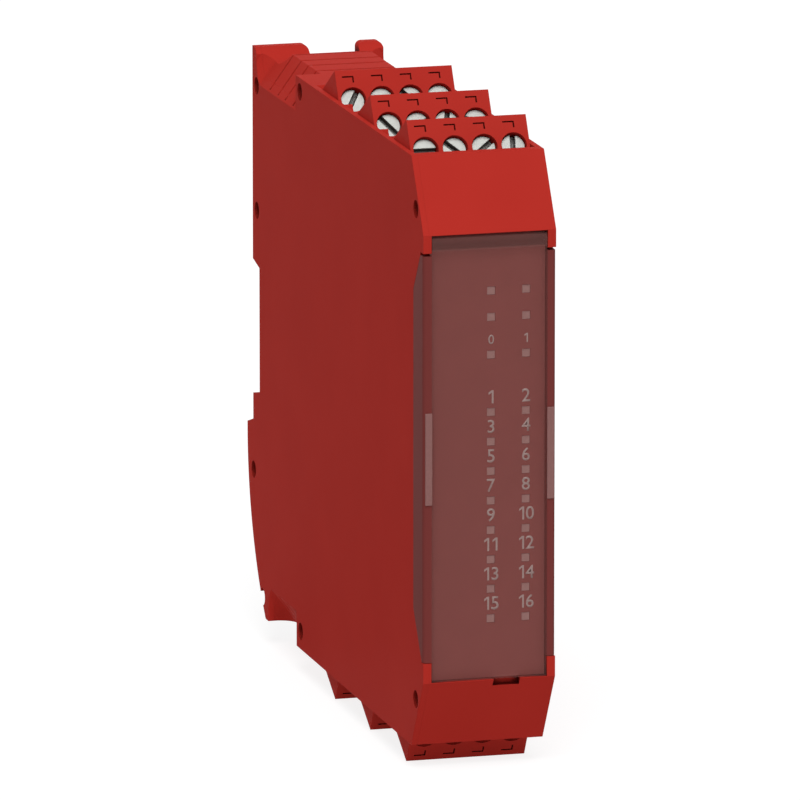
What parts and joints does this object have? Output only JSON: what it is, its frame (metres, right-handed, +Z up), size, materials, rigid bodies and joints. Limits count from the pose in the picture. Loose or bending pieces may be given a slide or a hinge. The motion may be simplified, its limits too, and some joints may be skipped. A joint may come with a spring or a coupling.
{
  "type": "safety input module",
  "caption": "Narrow red rail-mounted safety input module with a clear hinged front cover, numbered light windows and tilted pluggable screw terminals at both ends",
  "frame": {"origin": "middle of the rail seat: on the plane of the rail's flanges, at the rail's centre line and the middle of the width", "axes": "+X to the right seen from the front, -Y out of the front face, +Z up along the housing"},
  "size_m": [0.0226, 0.1145, 0.108],
  "materials": {
    "housing": "fine matt moulded red plastic",
    "plugs": "fine matt moulded red plastic",
    "label": "matt printed label plate",
    "cover": "clear smoked plastic",
    "light_guide": "clear plastic",
    "leds": "unlit light-emitting diodes",
    "boards": "green circuit board",
    "chips": "black moulded packages",
    "headers": "black moulded shrouds",
    "latch": "matt black plastic",
    "screws": "zinc-plated steel",
    "clamps": "plated steel cages",
    "contacts": "tinned copper alloy",
    "spring": "spring steel wire"
  },
  "bodies": {
    "case": {"case_shell": "housing", "side_cover": "housing", "label_panel": "label", "light_guide": "light_guide", "indicator_leds": "leds", "main_board": "boards", "display_board": "boards", "board_chips": "chips", "header_pins": "contacts", "header_top_front": "headers", "header_top_middle": "headers", "header_top_rear": "headers", "header_bottom_front": "headers", "header_bottom_middle": "headers", "header_bottom_rear": "headers", "latch_spring": "spring"},
    "cover": {"clear_cover": "cover"},
    "latch": {"rail_latch": "latch"},
    "plug_top_front": {"plug_top_front": "plugs", "clamps_top_front": "clamps", "contacts_top_front": "contacts"},
    "plug_top_middle": {"plug_top_middle": "plugs", "clamps_top_middle": "clamps", "contacts_top_middle": "contacts"},
    "plug_top_rear": {"plug_top_rear": "plugs", "clamps_top_rear": "clamps", "contacts_top_rear": "contacts"},
    "plug_bottom_front": {"plug_bottom_front": "plugs", "clamps_bottom_front": "clamps", "contacts_bottom_front": "contacts"},
    "plug_bottom_middle": {"plug_bottom_middle": "plugs", "clamps_bottom_middle": "clamps", "contacts_bottom_middle": "contacts"},
    "plug_bottom_rear": {"plug_bottom_rear": "plugs", "clamps_bottom_rear": "clamps", "contacts_bottom_rear": "contacts"},
    "screw_top_front_1": {"screw_top_front_1": "screws"},
    "screw_top_front_2": {"screw_top_front_2": "screws"},
    "screw_top_front_3": {"screw_top_front_3": "screws"},
    "screw_top_front_4": {"screw_top_front_4": "screws"},
    "screw_top_middle_1": {"screw_top_middle_1": "screws"},
    "screw_top_middle_2": {"screw_top_middle_2": "screws"},
    "screw_top_middle_3": {"screw_top_middle_3": "screws"},
    "screw_top_middle_4": {"screw_top_middle_4": "screws"},
    "screw_top_rear_1": {"screw_top_rear_1": "screws"},
    "screw_top_rear_2": {"screw_top_rear_2": "screws"},
    "screw_top_rear_3": {"screw_top_rear_3": "screws"},
    "screw_top_rear_4": {"screw_top_rear_4": "screws"},
    "screw_bottom_front_1": {"screw_bottom_front_1": "screws"},
    "screw_bottom_front_2": {"screw_bottom_front_2": "screws"},
    "screw_bottom_front_3": {"screw_bottom_front_3": "screws"},
    "screw_bottom_front_4": {"screw_bottom_front_4": "screws"},
    "screw_bottom_middle_1": {"screw_bottom_middle_1": "screws"},
    "screw_bottom_middle_2": {"screw_bottom_middle_2": "screws"},
    "screw_bottom_middle_3": {"screw_bottom_middle_3": "screws"},
    "screw_bottom_middle_4": {"screw_bottom_middle_4": "screws"},
    "screw_bottom_rear_1": {"screw_bottom_rear_1": "screws"},
    "screw_bottom_rear_2": {"screw_bottom_rear_2": "screws"},
    "screw_bottom_rear_3": {"screw_bottom_rear_3": "screws"},
    "screw_bottom_rear_4": {"screw_bottom_rear_4": "screws"}
  },
  "joints": [
    {"name": "cover_hinge", "type": "hinge", "parent": "case", "child": "cover", "pos_m": [0, -0.10925, 0.03435], "axis": [-1, 0, 0], "range_deg": [0, 90]},
    {"name": "latch_slide", "type": "slide", "parent": "case", "child": "latch", "axis": [0, 0, 1], "range_m": [-0.0035, 0], "stiffness_N_per_m": 1500, "springref_m": 0.002, "deforming": ["latch_spring"]},
    {"name": "plug_top_front_slide", "type": "slide", "parent": "case", "child": "plug_top_front", "axis": [0, 0.5, 0.866], "range_m": [0, 0.02]},
    {"name": "plug_top_middle_slide", "type": "slide", "parent": "case", "child": "plug_top_middle", "axis": [0, 0.5, 0.866], "range_m": [0, 0.02]},
    {"name": "plug_top_rear_slide", "type": "slide", "parent": "case", "child": "plug_top_rear", "axis": [0, 0.5, 0.866], "range_m": [0, 0.02]},
    {"name": "plug_bottom_front_slide", "type": "slide", "parent": "case", "child": "plug_bottom_front", "axis": [0, 0.5, -0.866], "range_m": [0, 0.02]},
    {"name": "plug_bottom_middle_slide", "type": "slide", "parent": "case", "child": "plug_bottom_middle", "axis": [0, 0.5, -0.866], "range_m": [0, 0.02]},
    {"name": "plug_bottom_rear_slide", "type": "slide", "parent": "case", "child": "plug_bottom_rear", "axis": [0, 0.5, -0.866], "range_m": [0, 0.02]},
    {"name": "screw_top_front_1_turn", "type": "hinge", "parent": "plug_top_front", "child": "screw_top_front_1", "pos_m": [-0.0075, -0.09763, 0.0473], "axis": [0, -0.866, 0.5], "range_deg": [-1710, 0]},
    {"name": "screw_top_front_2_turn", "type": "hinge", "parent": "plug_top_front", "child": "screw_top_front_2", "pos_m": [-0.0025, -0.09763, 0.0473], "axis": [0, -0.866, 0.5], "range_deg": [-1710, 0]},
    {"name": "screw_top_front_3_turn", "type": "hinge", "parent": "plug_top_front", "child": "screw_top_front_3", "pos_m": [0.0025, -0.09763, 0.0473], "axis": [0, -0.866, 0.5], "range_deg": [-1710, 0]},
    {"name": "screw_top_front_4_turn", "type": "hinge", "parent": "plug_top_front", "child": "screw_top_front_4", "pos_m": [0.0075, -0.09763, 0.0473], "axis": [0, -0.866, 0.5], "range_deg": [-1710, 0]},
    {"name": "screw_top_middle_1_turn", "type": "hinge", "parent": "plug_top_middle", "child": "screw_top_middle_1", "pos_m": [-0.0075, -0.07488, 0.0473], "axis": [0, -0.866, 0.5], "range_deg": [-1710, 0]},
    {"name": "screw_top_middle_2_turn", "type": "hinge", "parent": "plug_top_middle", "child": "screw_top_middle_2", "pos_m": [-0.0025, -0.07488, 0.0473], "axis": [0, -0.866, 0.5], "range_deg": [-1710, 0]},
    {"name": "screw_top_middle_3_turn", "type": "hinge", "parent": "plug_top_middle", "child": "screw_top_middle_3", "pos_m": [0.0025, -0.07488, 0.0473], "axis": [0, -0.866, 0.5], "range_deg": [-1710, 0]},
    {"name": "screw_top_middle_4_turn", "type": "hinge", "parent": "plug_top_middle", "child": "screw_top_middle_4", "pos_m": [0.0075, -0.07488, 0.0473], "axis": [0, -0.866, 0.5], "range_deg": [-1710, 0]},
    {"name": "screw_top_rear_1_turn", "type": "hinge", "parent": "plug_top_rear", "child": "screw_top_rear_1", "pos_m": [-0.0075, -0.05213, 0.0473], "axis": [0, -0.866, 0.5], "range_deg": [-1710, 0]},
    {"name": "screw_top_rear_2_turn", "type": "hinge", "parent": "plug_top_rear", "child": "screw_top_rear_2", "pos_m": [-0.0025, -0.05213, 0.0473], "axis": [0, -0.866, 0.5], "range_deg": [-1710, 0]},
    {"name": "screw_top_rear_3_turn", "type": "hinge", "parent": "plug_top_rear", "child": "screw_top_rear_3", "pos_m": [0.0025, -0.05213, 0.0473], "axis": [0, -0.866, 0.5], "range_deg": [-1710, 0]},
    {"name": "screw_top_rear_4_turn", "type": "hinge", "parent": "plug_top_rear", "child": "screw_top_rear_4", "pos_m": [0.0075, -0.05213, 0.0473], "axis": [0, -0.866, 0.5], "range_deg": [-1710, 0]},
    {"name": "screw_bottom_front_1_turn", "type": "hinge", "parent": "plug_bottom_front", "child": "screw_bottom_front_1", "pos_m": [-0.0075, -0.09763, -0.0507], "axis": [0, -0.866, -0.5], "range_deg": [-1710, 0]},
    {"name": "screw_bottom_front_2_turn", "type": "hinge", "parent": "plug_bottom_front", "child": "screw_bottom_front_2", "pos_m": [-0.0025, -0.09763, -0.0507], "axis": [0, -0.866, -0.5], "range_deg": [-1710, 0]},
    {"name": "screw_bottom_front_3_turn", "type": "hinge", "parent": "plug_bottom_front", "child": "screw_bottom_front_3", "pos_m": [0.0025, -0.09763, -0.0507], "axis": [0, -0.866, -0.5], "range_deg": [-1710, 0]},
    {"name": "screw_bottom_front_4_turn", "type": "hinge", "parent": "plug_bottom_front", "child": "screw_bottom_front_4", "pos_m": [0.0075, -0.09763, -0.0507], "axis": [0, -0.866, -0.5], "range_deg": [-1710, 0]},
    {"name": "screw_bottom_middle_1_turn", "type": "hinge", "parent": "plug_bottom_middle", "child": "screw_bottom_middle_1", "pos_m": [-0.0075, -0.07488, -0.0507], "axis": [0, -0.866, -0.5], "range_deg": [-1710, 0]},
    {"name": "screw_bottom_middle_2_turn", "type": "hinge", "parent": "plug_bottom_middle", "child": "screw_bottom_middle_2", "pos_m": [-0.0025, -0.07488, -0.0507], "axis": [0, -0.866, -0.5], "range_deg": [-1710, 0]},
    {"name": "screw_bottom_middle_3_turn", "type": "hinge", "parent": "plug_bottom_middle", "child": "screw_bottom_middle_3", "pos_m": [0.0025, -0.07488, -0.0507], "axis": [0, -0.866, -0.5], "range_deg": [-1710, 0]},
    {"name": "screw_bottom_middle_4_turn", "type": "hinge", "parent": "plug_bottom_middle", "child": "screw_bottom_middle_4", "pos_m": [0.0075, -0.07488, -0.0507], "axis": [0, -0.866, -0.5], "range_deg": [-1710, 0]},
    {"name": "screw_bottom_rear_1_turn", "type": "hinge", "parent": "plug_bottom_rear", "child": "screw_bottom_rear_1", "pos_m": [-0.0075, -0.05213, -0.0507], "axis": [0, -0.866, -0.5], "range_deg": [-1710, 0]},
    {"name": "screw_bottom_rear_2_turn", "type": "hinge", "parent": "plug_bottom_rear", "child": "screw_bottom_rear_2", "pos_m": [-0.0025, -0.05213, -0.0507], "axis": [0, -0.866, -0.5], "range_deg": [-1710, 0]},
    {"name": "screw_bottom_rear_3_turn", "type": "hinge", "parent": "plug_bottom_rear", "child": "screw_bottom_rear_3", "pos_m": [0.0025, -0.05213, -0.0507], "axis": [0, -0.866, -0.5], "range_deg": [-1710, 0]},
    {"name": "screw_bottom_rear_4_turn", "type": "hinge", "parent": "plug_bottom_rear", "child": "screw_bottom_rear_4", "pos_m": [0.0075, -0.05213, -0.0507], "axis": [0, -0.866, -0.5], "range_deg": [-1710, 0]}
  ]
}
